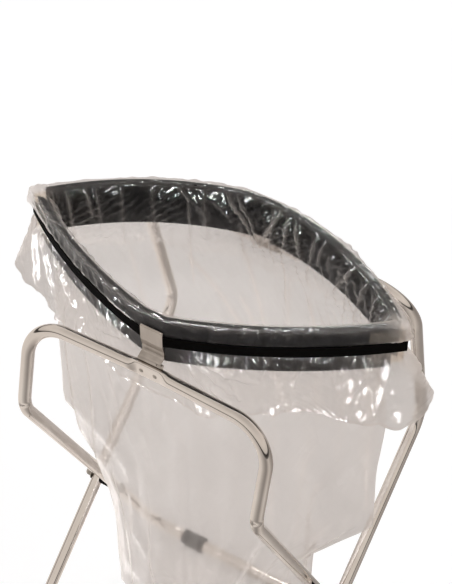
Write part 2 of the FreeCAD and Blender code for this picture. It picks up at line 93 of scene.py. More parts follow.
# Frames: side, half width, knee drop and top corner radius
FRAMES = {"front": (-1.0, 0.205, 0.160, 0.062), "rear": (1.0, 0.245, 0.340, 0.075)}
TUBE_R = 0.010
BAR_Y, BAR_Z = 0.160, 0.800
BAR_BOW = math.radians(2.1)
EAR_LEAN = math.radians(14.0)
KNEE_R, FLOOR_R = 0.060, 0.055
PIVOT_Z, FLOOR_BAR_Z = 0.240, 0.014
PRESS_HALF, PRESS_RUN = 0.019, 0.015
PRESS_THICK = 0.010
PRESS_HIGH = PRESS_THICK + math.pi * (2 * TUBE_R - PRESS_THICK) / 2


def add_camera():
    """The camera, turned so that its own x axis stays level."""
    back = Vector(CAMERA_BACK).normalized()
    right = Vector((0, 0, 1)).cross(back).normalized()
    up = back.cross(right)
    turn = Matrix((right, up, back)).transposed().to_4x4()
    data = bpy.data.cameras.new("camera")
    data.sensor_fit = "HORIZONTAL"
    data.sensor_width = CAMERA_SENSOR
    data.lens = CAMERA_LENS
    data.clip_start, data.clip_end = 0.05, 60.0
    camera = bpy.data.objects.new("camera", data)
    camera.matrix_world = Matrix.Translation(CAMERA_PLACE) @ turn
    bpy.context.scene.collection.objects.link(camera)
    bpy.context.scene.camera = camera


# Meshes

def grid_piece(name, x, y, z, around=True, uv=None, values=None, inward=False):
    """A mesh from a grid of points, one row of columns after another; around closes each row on itself, and inward
    turns the faces over, for rows that go down the outside."""
    rows, columns = x.shape
    points = np.stack([x, y, z], axis=-1).reshape(-1, 3)
    index = np.arange(rows * columns).reshape(rows, columns)
    if around:
        index = np.concatenate([index, index[:, :1]], axis=1)
    quads = np.stack([index[:-1, :-1], index[:-1, 1:], index[1:, 1:], index[1:, :-1]], axis=-1).reshape(-1, 4)
    if inward:
        quads = quads[:, ::-1]
        uv = uv if uv is None else uv.reshape(-1, 4, 2)[:, ::-1].reshape(-1, 2)
    return mesh_piece(name, points, quads, uv=uv, values=values)


def mesh_piece(name, points, quads, uv=None, values=None):
    """A smooth mesh object from arrays of points and four-sided faces; uv holds a pair for each face corner."""
    mesh = bpy.data.meshes.new(name)
    mesh.vertices.add(len(points))
    mesh.vertices.foreach_set("co", points.astype(np.float32).ravel())
    mesh.loops.add(quads.size)
    mesh.loops.foreach_set("vertex_index", quads.astype(np.int32).ravel())
    mesh.polygons.add(len(quads))
    mesh.polygons.foreach_set("loop_start", np.arange(0, quads.size, 4, dtype=np.int32))
    mesh.polygons.foreach_set("use_smooth", np.ones(len(quads), bool))
    mesh.update(calc_edges=True)
    if uv is not None:
        layer = mesh.uv_layers.new(name="run")
        layer.data.foreach_set("uv", uv.astype(np.float32).ravel())
    for label, value in (values or {}).items():
        attribute = mesh.attributes.new(label, "FLOAT", "POINT")
        attribute.data.foreach_set("value", value.astype(np.float32).ravel())
    mesh.validate()
    piece = bpy.data.objects.new(name, mesh)
    bpy.context.scene.collection.objects.link(piece)
    return piece


def grid_uv(u, v):
    """Corner pairs for a grid closed round its rows: u has one value more than the columns, v one for each row."""
    rows, columns = len(v), len(u) - 1
    us = np.stack([u[:-1], u[1:], u[1:], u[:-1]], axis=-1)
    vs = np.stack([v[:-1], v[:-1], v[1:], v[1:]], axis=-1)
    pairs = np.empty((rows - 1, columns, 4, 2))
    pairs[..., 0] = us[None, :, :]
    pairs[..., 1] = vs[:, None, :]
    return pairs.reshape(-1, 2)


# The hoop in plan

def arc_circle(p, q, half_turn):
    """Centres and radii of the arcs from p to q that turn through twice half_turn and curve away from the middle."""
    chord = q - p
    length = np.hypot(chord[:, :1], chord[:, 1:])
    radius = length / 2.0 / np.sin(half_turn)
    across = np.concatenate([chord[:, 1:], -chord[:, :1]], axis=1) / length
    middle = (p + q) / 2.0
    across *= np.where((across * middle).sum(1, keepdims=True) < 0, -1.0, 1.0)
    return middle - across * radius * np.cos(half_turn), radius


def circles_meet(c1, r1, c2, r2, near):
    """Where pairs of circles cross, on the side of given points."""
    gap = c2 - c1
    d = np.hypot(gap[:, :1], gap[:, 1:])
    along = (d * d + r1 * r1 - r2 * r2) / (2.0 * d)
    off = np.sqrt(np.maximum(r1 * r1 - along * along, 0.0))
    base = c1 + gap * along / d
    across = np.concatenate([-gap[:, 1:], gap[:, :1]], axis=1) * off / d
    first, second = base + across, base - across
    nearer = ((first - near) ** 2).sum(1) < ((second - near) ** 2).sum(1)
    return np.where(nearer[:, None], first, second)


def circle_at(centre, radius, y, near):
    """Where circles cross lines along X, on the side of given points."""
    off = np.sqrt(np.maximum(radius ** 2 - (y - centre[:, 1:]) ** 2, 0.0))
    sign = np.where(near[:, :1] > centre[:, :1], 1.0, -1.0)
    return np.concatenate([centre[:, :1] + sign * off, y], axis=1)


def hoop_outline(share, offset=0.0, half_length=HOOP_HALF, half_depth=HOOP_DEPTH,
                 front=FRONT_TURN, rear=REAR_TURN, turn=HOOP_TURN):
    """x and y round the hoop at shares of the way, one row for each offset: four arcs about fixed centres,
    whose radii grow by the offset, and a flat behind each clip."""
    given = (offset, half_length, half_depth, front, rear, turn)
    values = np.broadcast_arrays(*[np.atleast_1d(np.asarray(v, float)) for v in given])
    offset, half_length, half_depth, front, rear, turn = [v.reshape(-1, 1) for v in values]
    flat = np.full_like(offset, CLIP_HALF)
    right = half_length * np.concatenate([np.cos(turn), np.sin(turn)], axis=1)
    left = -right
    fl, fr = np.hstack([-flat, -half_depth]), np.hstack([flat, -half_depth])
    rr, rl = np.hstack([flat, half_depth]), np.hstack([-flat, half_depth])
    chords = ((left, fl, front), (fr, right, front), (right, rr, rear), (rl, left, rear))
    arcs = [arc_circle(p, q, h) for p, q, h in chords]
    arcs = [(c, r + offset) for c, r in arcs]
    left = circles_meet(*arcs[3], *arcs[0], left)
    right = circles_meet(*arcs[1], *arcs[2], right)
    low, high = -half_depth - offset, half_depth + offset
    fl, fr = circle_at(*arcs[0], low, fl), circle_at(*arcs[1], low, fr)
    rr, rl = circle_at(*arcs[2], high, rr), circle_at(*arcs[3], high, rl)
    ends = [(left, fl), (fl, fr), (fr, right), (right, rr), (rr, rl), (rl, left)]
    circles = [arcs[0], None, arcs[1], arcs[2], None, arcs[3]]
    share = np.mod(share, 1.0)
    x = np.zeros((len(offset), len(share)))
    y = np.zeros_like(x)
    for k, ((p, q), circle) in enumerate(zip(ends, circles)):
        mask = (share >= KNOTS[k]) & (share < KNOTS[k + 1])
        u = (share[mask] - KNOTS[k]) / (KNOTS[k + 1] - KNOTS[k])
        if circle is None:
            x[:, mask] = p[:, :1] + (q - p)[:, :1] * u
            y[:, mask] = p[:, 1:] + (q - p)[:, 1:] * u
            continue
        c, r = circle
        a0 = np.arctan2(p[:, 1:] - c[:, 1:], p[:, :1] - c[:, :1])
        a1 = np.arctan2(q[:, 1:] - c[:, 1:], q[:, :1] - c[:, :1])
        sweep = np.mod(a1 - a0 + math.pi, 2 * math.pi) - math.pi
        x[:, mask] = c[:, :1] + r * np.cos(a0 + sweep * u)
        y[:, mask] = c[:, 1:] + r * np.sin(a0 + sweep * u)
    return x, y


def outline_knots():
    """Shares at which the outline passes from one arc or flat to the next, by length."""
    turn = np.array([math.cos(HOOP_TURN), math.sin(HOOP_TURN)]) * HOOP_HALF
    fronts = [np.linalg.norm(turn + np.array(p)) for p in ((-CLIP_HALF, -HOOP_DEPTH), (-CLIP_HALF, HOOP_DEPTH))]
    curve = lambda chord, half: chord * half / math.sin(half)
    lengths = [curve(fronts[0], FRONT_TURN), 2 * CLIP_HALF, curve(fronts[1], FRONT_TURN),
               curve(fronts[0], REAR_TURN), 2 * CLIP_HALF, curve(fronts[1], REAR_TURN)]
    girth = sum(lengths)
    return np.concatenate([[0.0], np.cumsum(lengths) / girth]), girth


KNOTS, GIRTH = outline_knots()


def soften(values, width):
    """A closed row smoothed by a bell-shaped average, width columns wide."""
    reach = int(3 * width)
    steps = np.arange(-reach, reach + 1)
    bell = np.exp(-0.5 * (steps / width) ** 2)
    bell /= bell.sum()
    return sum(w * np.roll(values, k, axis=-1) for k, w in zip(steps, bell))


def outward(x, y):
    """Level unit normals of closed rows that run anticlockwise."""
    dx = np.roll(x, -1, axis=1) - np.roll(x, 1, axis=1)
    dy = np.roll(y, -1, axis=1) - np.roll(y, 1, axis=1)
    length = np.hypot(dx, dy) + 1e-12
    return dy / length, -dx / length


# Folds in the film

def waves(share, height, cycles, run, seed, terms=7):
    """A closed wavy pattern between about -1 and 1: sines with whole numbers of cycles round the hoop that drift
    with height."""
    rng = np.random.default_rng(seed)
    total = np.zeros(np.broadcast(share, height).shape)
    weight = 0.0
    for _ in range(terms):
        k = rng.integers(cycles[0], cycles[1] + 1)
        size = rng.uniform(0.6, 1.0)
        drift = height / run * rng.uniform(-1.0, 1.0)
        total += size * np.sin(2 * math.pi * (k * share + drift) + rng.uniform(0, 2 * math.pi))
        weight += size * size
    return total / math.sqrt(weight)


def sharp(wave):
    """Turns a wave into folds: rounded valleys that meet in crisp ridges, between 0 and 1."""
    return (1.0 - np.abs(np.tanh(1.1 * wave))) ** 2


def main_folds(share):
    """The bag's main folds, between 0 and 1: a whole number on each arc, of unequal width."""
    total = np.zeros_like(share)
    for k, folds in BAG_FOLDS.items():
        u = (share - KNOTS[k]) / (KNOTS[k + 1] - KNOTS[k])
        phase = 2 * math.pi * folds * (u + 0.03 * np.sin(4 * math.pi * u))
        total += np.where((u >= 0) & (u < 1), (1 - np.cos(phase)) / 2, 0.0)
    return total


def crumple(share, height, cycles, lean, seed, terms=6, patch=0.12):
    """Creased film, between 0 and about 1: straight-sided waves that lean either way from upright by up to so many
    degrees, each coming and going in patches, so that flat facets meet in crisp edges."""
    rng = np.random.default_rng(seed)
    drift = waves(share, height, (2, 8), 0.25, seed + 100)
    total = np.zeros(np.broadcast(share, height).shape)
    for term in range(terms):
        k = rng.integers(cycles[0], cycles[1] + 1)
        climb = k / GIRTH * math.tan(math.radians(rng.uniform(-lean, lean)))
        phase = k * share + climb * height + rng.uniform(0.3, 0.9) * drift + rng.uniform(0, 1)
        gate = np.clip(0.35 + waves(share, height, (4, 16), patch, seed + 200 + term), 0, 1)
        total += gate * 2 * np.abs(np.mod(phase, 1.0) - 0.5)
    return total / (0.42 * terms)


def streaks(share, height, apart, seed):
    """Long creases that run along the hoop, wander up and down and come and go, between 0 and 1."""
    drift = waves(share, height, (3, 9), 0.5, seed)
    gate = np.clip(0.2 + waves(share, height, (4, 12), 0.3, seed + 1), 0, 1)
    return gate * 2 * np.abs(np.mod(height / apart + 1.4 * drift, 1.0) - 0.5)


def crease(share, height, start, end, width):
    """A straight fold from one point to another, each a share and a height: 1 on its line, 0 at width to its side,
    thinning out at its ends."""
    dx = (np.mod(share - start[0] + 0.5, 1.0) - 0.5) * GIRTH
    dz = height - start[1]
    ex, ez = (end[0] - start[0]) * GIRTH, end[1] - start[1]
    length = math.hypot(ex, ez)
    along = (dx * ex + dz * ez) / length ** 2
    side = np.abs(dx * ez - dz * ex) / length
    fade = np.clip(np.minimum(along + 0.06, 1.12 - along) / 0.18, 0, 1)
    return np.clip(1.0 - side / width, 0, 1) ** 1.6 * fade * fade * (3 - 2 * fade)


def near_tips(share, reach):
    """1 at the hoop's two tips, falling to 0 at a distance round the hoop."""
    d = np.minimum(np.abs(np.mod(share - KNOTS[3] + 0.5, 1) - 0.5), np.abs(np.mod(share + 0.5, 1) - 0.5)) * GIRTH
    return np.exp(-(d / reach) ** 2)


def near_clips(share, reach):
    """1 at the two clips, falling to 0 at a distance round the hoop."""
    front, rear = (KNOTS[1] + KNOTS[2]) / 2, (KNOTS[4] + KNOTS[5]) / 2
    d = np.minimum(np.abs(np.mod(share - front + 0.5, 1) - 0.5), np.abs(np.mod(share - rear + 0.5, 1) - 0.5)) * GIRTH
    return np.exp(-(d / reach) ** 4)


# The folds that stand out inside the rim: start and end as share and height, width, and height of the fold
RIM_CREASES = (
    ((0.910, 0.902), (0.9095, 0.790), 0.0055, 0.0040),
    ((0.845, 0.902), (0.829, 0.880), 0.007, 0.0050), ((0.830, 0.884), (0.826, 0.700), 0.006, 0.0045),
    ((0.786, 0.902), (0.740, 0.822), 0.006, 0.0070), ((0.774, 0.902), (0.733, 0.824), 0.005, 0.0060),
    ((0.734, 0.824), (0.711, 0.902), 0.006, 0.0070), ((0.738, 0.826), (0.722, 0.872), 0.006, 0.0045),
    ((0.722, 0.900), (0.716, 0.800), 0.006, 0.0050), ((0.700, 0.902), (0.698, 0.740), 0.006, 0.0055),
    ((0.690, 0.900), (0.672, 0.840), 0.006, 0.0050), ((0.655, 0.902), (0.664, 0.800), 0.008, 0.0050),
    ((0.640, 0.902), (0.648, 0.850), 0.007, 0.0045), ((0.618, 0.824), (0.585, 0.904), 0.006, 0.0055),
    ((0.594, 0.902), (0.5945, 0.780), 0.006, 0.0045), ((0.560, 0.902), (0.575, 0.800), 0.008, 0.0055),
    ((0.540, 0.902), (0.530, 0.820), 0.007, 0.0050), ((0.952, 0.902), (0.946, 0.850), 0.007, 0.0050),
    ((0.940, 0.902), (0.936, 0.830), 0.006, 0.0045), ((0.975, 0.902), (0.968, 0.780), 0.007, 0.0060),
    ((0.874, 0.902), (0.870, 0.800), 0.010, 0.0030), ((0.812, 0.902), (0.806, 0.810), 0.012, 0.0035),
    ((0.768, 0.860), (0.720, 0.560), 0.018, 0.0050), ((0.836, 0.780), (0.735, 0.560), 0.018, 0.0050),
    ((0.905, 0.790), (0.880, 0.560), 0.018, 0.0040), ((0.690, 0.800), (0.700, 0.560), 0.018, 0.0045),
    ((0.770, 0.700), (0.690, 0.480), 0.020, 0.0050), ((0.660, 0.790), (0.640, 0.520), 0.018, 0.0050),
    ((0.100, 0.902), (0.120, 0.780), 0.009, 0.0050), ((0.160, 0.902), (0.150, 0.800), 0.008, 0.0045),
    ((0.300, 0.902), (0.320, 0.790), 0.009, 0.0050), ((0.400, 0.902), (0.390, 0.760), 0.008, 0.0050),
)


def bag_rows():
    """The film's rows, from under the strap up over the rim and down to the bottom seam: how many rows lie outside
    the rim, and for each row its height, its main folds' depth and the hoop_outline values."""
    outside = np.stack([np.full(9, FILM_OUT), np.linspace(STRAP_Z, 0.8990, 9)])
    turn = np.linspace(0, math.pi, 9)[1:-1]
    half_w = (FILM_OUT + FILM_IN) / 2
    over = np.stack([(FILM_OUT - FILM_IN) / 2 + half_w * np.cos(turn),
                     0.8990 + (FILM_TOP - 0.8990) * np.sin(turn) ** 0.35])
    inside = np.linspace(0.8985, 0.800, 44)
    below = np.concatenate([np.linspace(0.800, 0.560, 48)[1:], np.linspace(0.560, 0.071, 22)[1:]])
    heights = np.concatenate([outside[1], over[1], inside, below])
    rising = BAG_SECTIONS[::-1]
    columns = [np.interp(below, rising[:, 0], rising[:, k]) for k in range(1, 8)]
    length, depth, front, rear, turned, stands_in, fold = columns
    above = np.ones(len(heights) - len(below))
    outline = [
        np.concatenate([outside[0], over[0], np.full(len(inside), -FILM_IN), -stands_in]),
        np.concatenate([above * HOOP_HALF, length]), np.concatenate([above * HOOP_DEPTH, depth]),
        np.concatenate([above * FRONT_TURN, np.radians(front)]), np.concatenate([above * REAR_TURN, np.radians(rear)]),
        np.concatenate([above * HOOP_TURN, np.radians(turned)]),
    ]
    return len(outside[1]) + len(turn), heights, np.concatenate([above * 0, fold])[:, None], outline


def film_inside(s, z, inner, creases, fold):
    """How far the film inside the bands and below them is pushed inward: crumpled against the bands, in the main
    folds and long creases where it hangs free, and bunched at the tips."""
    depth = np.where(inner, 0.9 - z, 0.0)
    grow = np.clip(depth / 0.020, 0, 1)
    loose = np.clip((depth - 0.080) / 0.12, 0, 1)
    tips = near_tips(s, 0.030)
    creases = creases * inner * np.clip(0.30 + grow, 0, 1)
    band_film = grow * (1 - loose) * (0.0070 * crumple(s, z, (38, 76), 66, 12, 6)
                                      + 0.0030 * crumple(s, z, (22, 44), 50, 13, 5, 0.2))
    band_film += (1 - loose) * inner * 0.0050 * (1 - np.exp(-depth / 0.022))
    hanging = loose * (0.0060 * (crumple(s, z, (9, 20), 32, 14, 5, 0.4) - 0.5) + 0.0025 * waves(s, z, (3, 9), 0.35, 15))
    bunched = tips * grow * (1 - loose) * 0.009 * crumple(s, z, (90, 170), 35, 17, 5, 0.04)
    push = creases + band_film + hanging + bunched
    return push * (1 - loose) + soften(push, 3.0) * loose + fold * main_folds(s), creases


def film_outside(s, z, outer):
    """How far the film between the strap and the rim stands out: puffed up above the strap, in creases along the
    hoop, crumpled, gathered by the strap and bunched at the tips."""
    above_strap = z - STRAP_Z - STRAP_H / 2
    taut = np.clip(above_strap / 0.010, 0, 1)
    by_strap = np.exp(-np.clip(above_strap, 0, 1) / 0.008)
    free = 1 - near_clips(s, 0.030)
    puff = np.exp(-((above_strap - 0.003) / 0.007) ** 2) * (above_strap > 0)
    bulge = outer * free * 0.0036 * puff * (0.6 + 0.4 * waves(s, z, (3, 12), 0.2, 22))
    bulge += outer * taut * free * 0.0030 * streaks(s, z, 0.014, 23)
    bulge += outer * taut * free * (0.0034 * crumple(s, z, (34, 70), 72, 19)
                                    + 0.0016 * by_strap * sharp(1.5 * waves(s, z, (90, 150), 0.3, 20, 9)))
    return bulge + outer * near_tips(s, 0.020) * taut * 0.0065 * (0.2 + crumple(s, z, (90, 170), 45, 21, 5, 0.04))


def bag_film():
    """The film from under the strap up over the rim, down inside the bands and on to the bottom seam. Each row is
    the hoop's outline at its own offset and height; folds move it along its level normal. The seam closes the last
    row to a line. The attribute layers tells the material where folds and bunches lie several films thick."""
    first_in, heights, fold, outline = bag_rows()
    columns = 700
    share = (np.arange(columns) + 0.5) / columns
    s = share[None, :]
    x, y = hoop_outline(share, *outline)
    x, y = soften(x, 2.0), soften(y, 2.0)
    nx, ny = outward(soften(x, 5.0), soften(y, 5.0))
    z = np.repeat(heights[:, None], columns, axis=1)
    rows = np.arange(len(heights))[:, None]
    creases = sum(size * crease(s, z, start, end, width) for start, end, width, size in RIM_CREASES)
    push, creases = film_inside(s, z, rows >= first_in, creases, fold)
    bulge = film_outside(s, z, rows < first_in)
    top_rows = np.exp(-((z - FILM_TOP) / 0.007) ** 2) * (rows < first_in + 5)
    puckers = np.maximum(0, crumple(s, z, (30, 60), 20, 18, 5, 0.3) - 0.45) * (1 - near_clips(s, 0.03))
    x, y, z = x - nx * (push - bulge), y - ny * (push - bulge), z + top_rows * (0.0022 * puckers)
    tip_layers = np.where(np.abs(s - KNOTS[3]) < 0.2, 0.55, 0.10)
    layers = np.clip(creases / 0.0055, 0, 1) ** 2 * 0.50
    layers += near_tips(s, 0.020) * np.clip((z - 0.846) / 0.02, 0, 1) * tip_layers
    layers += top_rows * 0.05
    closing = np.linspace(1, 0, 9)[1:, None]
    x = np.concatenate([x, x[-1:] * (0.92 + 0.08 * closing)])
    y = np.concatenate([y, y[-1:] * closing ** 1.2 + 0.0003 * np.sign(y[-1:])])
    z = np.concatenate([z, z[-1:] - 0.004 * (1 - closing ** 2)])
    layers = np.concatenate([layers, np.zeros((8, columns))])
    run = np.concatenate([[0], np.cumsum(np.hypot(np.diff(outline[0]), np.diff(heights)))])
    run = np.concatenate([run, run[-1] + 0.108 * (1 - closing[:, 0])])
    uv = grid_uv(np.arange(columns + 1) / columns * GIRTH, run)
    return grid_piece("bag_film", x, y, z, uv=uv, values={"layers": layers}, inward=True)


# Folds that fan out from beside the front clip and run down the skirt elsewhere
SKIRT_CREASES = (
    ((0.266, 0.852), (0.322, 0.792), 0.006, 0.0050), ((0.266, 0.848), (0.304, 0.774), 0.006, 0.0055),
    ((0.266, 0.844), (0.290, 0.752), 0.007, 0.0050), ((0.266, 0.840), (0.276, 0.748), 0.006, 0.0040),
    ((0.268, 0.852), (0.345, 0.806), 0.006, 0.0040), ((0.300, 0.800), (0.322, 0.768), 0.006, 0.0050),
    ((0.322, 0.812), (0.332, 0.776), 0.005, 0.0045), ((0.236, 0.850), (0.190, 0.780), 0.008, 0.0045),
    ((0.236, 0.844), (0.205, 0.760), 0.008, 0.0040), ((0.236, 0.848), (0.160, 0.800), 0.008, 0.0040),
    ((0.470, 0.850), (0.440, 0.780), 0.009, 0.0050), ((0.480, 0.850), (0.465, 0.760), 0.009, 0.0070),
    ((0.500, 0.850), (0.505, 0.752), 0.012, 0.0080), ((0.030, 0.850), (0.075, 0.780), 0.010, 0.0060),
    ((0.020, 0.850), (0.040, 0.760), 0.010, 0.0080), ((0.985, 0.850), (0.975, 0.770), 0.010, 0.0060),
    ((0.060, 0.850), (0.120, 0.800), 0.010, 0.0050), ((0.395, 0.850), (0.385, 0.800), 0.006, 0.0030),
    ((0.420, 0.850), (0.428, 0.795), 0.006, 0.0030), ((0.360, 0.850), (0.352, 0.812), 0.006, 0.0030),
)


def skirt_film():
    """The turned-over mouth, from under the strap down to the hem. It lies close to the bands at the clips and
    stands out in loose folds towards the tips."""
    columns, rows = 1000, 66
    share = (np.arange(columns) + 0.5) / columns
    t = np.linspace(0, 1, rows)[:, None]
    s = share[None, :]
    x, y = hoop_outline(share, np.full(rows, FILM_OUT))
    x, y = soften(x, 3.0), soften(y, 3.0)
    nx, ny = outward(soften(x, 16.0), soften(y, 16.0))
    left = np.exp(-(np.minimum(s, 1 - s) * GIRTH / 0.085) ** 2)
    right = np.exp(-((s - KNOTS[3]) * GIRTH / 0.080) ** 2)
    snug = 1 - near_clips(s, 0.050)
    drop = STRAP_Z - HEM_Z + 0.003 * waves(s, 0.0, (3, 9), 1.0, 31) + 0.004 * left - 0.002
    z = STRAP_Z - t * drop
    under = np.clip((STRAP_Z - STRAP_H / 2 - z) / 0.100, 0, 1)
    gather = np.exp(-np.clip(STRAP_Z - STRAP_H / 2 - z, 0, 1) / 0.016) * (under > 0)
    flare = 0.0135 * under ** 1.2 + (0.024 * left + 0.021 * right) * under ** 0.8
    out = flare * (0.85 + 0.15 * waves(s, z, (4, 9), 0.5, 36))
    out += under ** 0.5 * 0.0060 * crumple(s, z, (22, 44), 62, 33, 6, 0.16)
    out += under ** 0.8 * 0.0020 * crumple(s, z, (60, 100), 60, 34)
    lobes = 0.013 * crumple(s, z, (12, 26), 50, 35, 5, 0.3) + 0.0035 * crumple(s, z, (40, 70), 70, 39, 4)
    out += (0.6 * left + 0.8 * right) * under ** 0.7 * lobes
    out += gather * 0.0016 * sharp(1.4 * waves(s, z, (100, 170), 0.5, 37, 9))
    over_band = np.exp(-((z - 0.838) / 0.022) ** 2) * (under > 0)
    out += over_band * 0.0042 * crumple(s, z, (46, 90), 48, 41, 6, 0.10)
    beside_clip = np.exp(-((s - 0.302) / 0.030) ** 2)
    out += under ** 0.3 * beside_clip * 0.0080 * crumple(s, z, (30, 60), 68, 40, 5, 0.08)
    out += sum(size * crease(s, z, start, end, width) for start, end, width, size in SKIRT_CREASES)
    out = out * snug + 0.0002
    x, y = x + nx * out, y + ny * out
    z = z + (left + right) * under * 0.007 * waves(s, 0.0, (12, 26), 1.0, 38)
    hem = np.clip((t - 0.955) / 0.01, 0, 1)
    layers = hem * 0.22 + (left + right) * 0.20 + near_tips(s, 0.02) * 0.3 * (1 - t) ** 2 + gather * 0.12
    x, y, z = lift_hem(x, y, z, t)
    uv = grid_uv(np.arange(columns + 1) / columns * GIRTH, 0.1 + t[:, 0] * (STRAP_Z - HEM_Z))
    return grid_piece("skirt_film", x, y, z, uv=uv, values={"layers": layers * np.ones_like(x)}, inward=True)


def lift_hem(x, y, z, t):
    """The last few millimetres of the hem curl a little outward."""
    nx, ny = outward(x, y)
    curl = np.clip((t - 0.94) / 0.06, 0, 1) ** 2 * 0.0012
    return x + nx * curl, y + ny * curl, z


def oblong(inner, outer, low, high, radius):
    """The section of a flat strip: an oblong with rounded corners, as offsets and heights, with extra points
    along its tall sides."""
    turn = np.linspace(0, math.pi / 2, 5)
    corner_o = [outer - radius, inner + radius, inner + radius, outer - radius]
    corner_z = [high - radius, high - radius, low + radius, low + radius]
    offsets, heights = [], []
    for k in range(4):
        offsets.append(corner_o[k] + radius * np.cos(turn + k * math.pi / 2))
        heights.append(corner_z[k] + radius * np.sin(turn + k * math.pi / 2))
        if k % 2:
            side = np.linspace(heights[-1][-1], corner_z[(k + 1) % 4], 9)[1:-1]
            offsets.append(np.full(7, offsets[-1][-1]))
            heights.append(side)
    return np.concatenate(offsets), np.concatenate(heights)


def hoop_strip(name, section, shares):
    """A flat strip carried round the hoop's outline: every point of its section runs at its own offset and height.
    A strip that doesn't run all the way round is closed at its two ends."""
    offsets, heights = section
    x, y = hoop_outline(shares, offsets)
    rows = [x.T, y.T, np.repeat(heights[None, :], len(shares), axis=0)]
    if shares[-1] - shares[0] > 0.99:
        rows = [np.concatenate([v, v[:1]]) for v in rows]
    else:
        rows = [np.concatenate([np.full_like(v[:1], v[0].mean()), v[:1], v, v[-1:], np.full_like(v[-1:], v[-1].mean())])
                for v in rows]
    length = np.linspace(shares[0], shares[-1], len(rows[0])) * GIRTH
    steps = np.hypot(np.diff(offsets, append=offsets[0]), np.diff(heights, append=heights[0]))
    uv = grid_uv(np.concatenate([[0], np.cumsum(steps)]), length)
    return grid_piece(name, *rows, uv=uv, inward=True)


# Frame tubes

def bent_line(points, radii, step=0.004):
    """A line through points, its corners rounded with an arc each, as points about a step apart."""
    parts = []
    start = points[0]
    for i, radius in enumerate(radii, start=1):
        before, after = points[i - 1] - points[i], points[i + 1] - points[i]
        before, after = before / np.linalg.norm(before), after / np.linalg.norm(after)
        half = math.acos(np.clip(before @ after, -1, 1)) / 2
        first = points[i] + before * radius / math.tan(half)
        last = points[i] + after * radius / math.tan(half)
        bisector = (before + after) / np.linalg.norm(before + after)
        centre = points[i] + bisector * radius / math.sin(half)
        sweep = math.pi - 2 * half
        parts.append(straight(start, first, step))
        u = np.linspace(0, 1, max(12, int(radius * sweep / step)))[:-1, None]
        round_it = np.sin((1 - u) * sweep) * (first - centre) + np.sin(u * sweep) * (last - centre)
        parts.append(centre + round_it / math.sin(sweep))
        start = last
    parts.append(straight(start, points[-1], step))
    return np.concatenate(parts)


def straight(p, q, step):
    """Points from p up to but not including q."""
    count = max(2, int(np.linalg.norm(q - p) / step))
    return p + (q - p) * (np.arange(count)[:, None] / count)


def frame_line(side, half_width, knee_drop, corner_r):
    """The centre line of a whole frame, closed, from the middle of its top bar round by the right."""
    end_y = BAR_Y + (half_width - PRESS_HALF) * math.tan(BAR_BOW)
    knee_y = end_y + knee_drop * math.sin(EAR_LEAN)
    knee_z = BAR_Z - knee_drop * math.cos(EAR_LEAN)
    floor_y = -knee_y / (knee_z - PIVOT_Z) * (PIVOT_Z - FLOOR_BAR_Z)
    half = [
        (PRESS_HALF, side * BAR_Y, BAR_Z), (half_width, side * end_y, BAR_Z),
        (half_width, side * knee_y, knee_z), (half_width, side * floor_y, FLOOR_BAR_Z),
    ]
    other = [(-x, y, z) for x, y, z in half[::-1]]
    points = np.array([(0.0, side * BAR_Y, BAR_Z)] + half + other + [(0.0, side * BAR_Y, BAR_Z)])
    bend = [0.0001, corner_r, KNEE_R, FLOOR_R]
    return bent_line(points, bend + bend[::-1])


def frame_tube(name, side, half_width, knee_drop, corner_r):
    """A bent tube: a ring of points carried along the frame's line, square to it. In the middle of the top bar the
    ring is pressed to a flat oblong, and eases back to the round."""
    line = frame_line(side, half_width, knee_drop, corner_r)
    along = np.roll(line, -1, axis=0) - np.roll(line, 1, axis=0)
    along /= np.linalg.norm(along, axis=1, keepdims=True)
    down = np.degrees(np.arctan2(along[:, 1], along[:, 2]) % math.pi)
    steep = np.hypot(along[:, 1], along[:, 2]) > 0.3
    index = np.arange(len(line))
    down = np.radians(np.interp(index, index[steep], down[steep]))
    normal = np.stack([np.zeros(len(line)), np.cos(down), -np.sin(down)], axis=1)
    normal -= along * (normal * along).sum(1, keepdims=True)
    normal /= np.linalg.norm(normal, axis=1, keepdims=True)
    other = np.cross(along, normal)
    flat = np.clip((PRESS_HALF + PRESS_RUN - np.abs(line[:, 0])) / PRESS_RUN, 0, 1) * (line[:, 2] > BAR_Z - 0.001)
    flat = (flat * flat * (3 - 2 * flat))[:, None]
    level = np.array([0.0, 1.0, 0.0])
    normal = normal * (1 - flat) + level * flat
    other = other * (1 - flat) + np.cross(along, np.broadcast_to(level, along.shape)) * flat
    normal /= np.linalg.norm(normal, axis=1, keepdims=True)
    other /= np.linalg.norm(other, axis=1, keepdims=True)
    a = np.arange(64) / 64 * 2 * math.pi
    ring_y, ring_z = np.cos(a), np.sin(a)
    press_y = np.sign(ring_y) * np.abs(ring_y) ** 0.42 * PRESS_THICK / 2
    press_z = np.sign(ring_z) * np.abs(ring_z) ** 0.62 * PRESS_HIGH / 2
    wide = TUBE_R * ring_y * (1 - flat) + press_y * flat
    tall = TUBE_R * ring_z * (1 - flat) + press_z * flat
    points = line[:, None, :] + normal[:, None, :] * wide[..., None] + other[:, None, :] * tall[..., None]
    points = np.concatenate([points, points[:1]])
    return grid_piece(name, points[..., 0], points[..., 1], points[..., 2])


# Materials

def linear(code, alpha=1.0):
    """A colour written as an sRGB hex value, as the shaders want it."""
    values = [int(code[i:i + 2], 16) / 255 for i in (1, 3, 5)]
    values = [v / 12.92 if v <= 0.04045 else ((v + 0.055) / 1.055) ** 2.4 for v in values]
    return (*values, alpha)


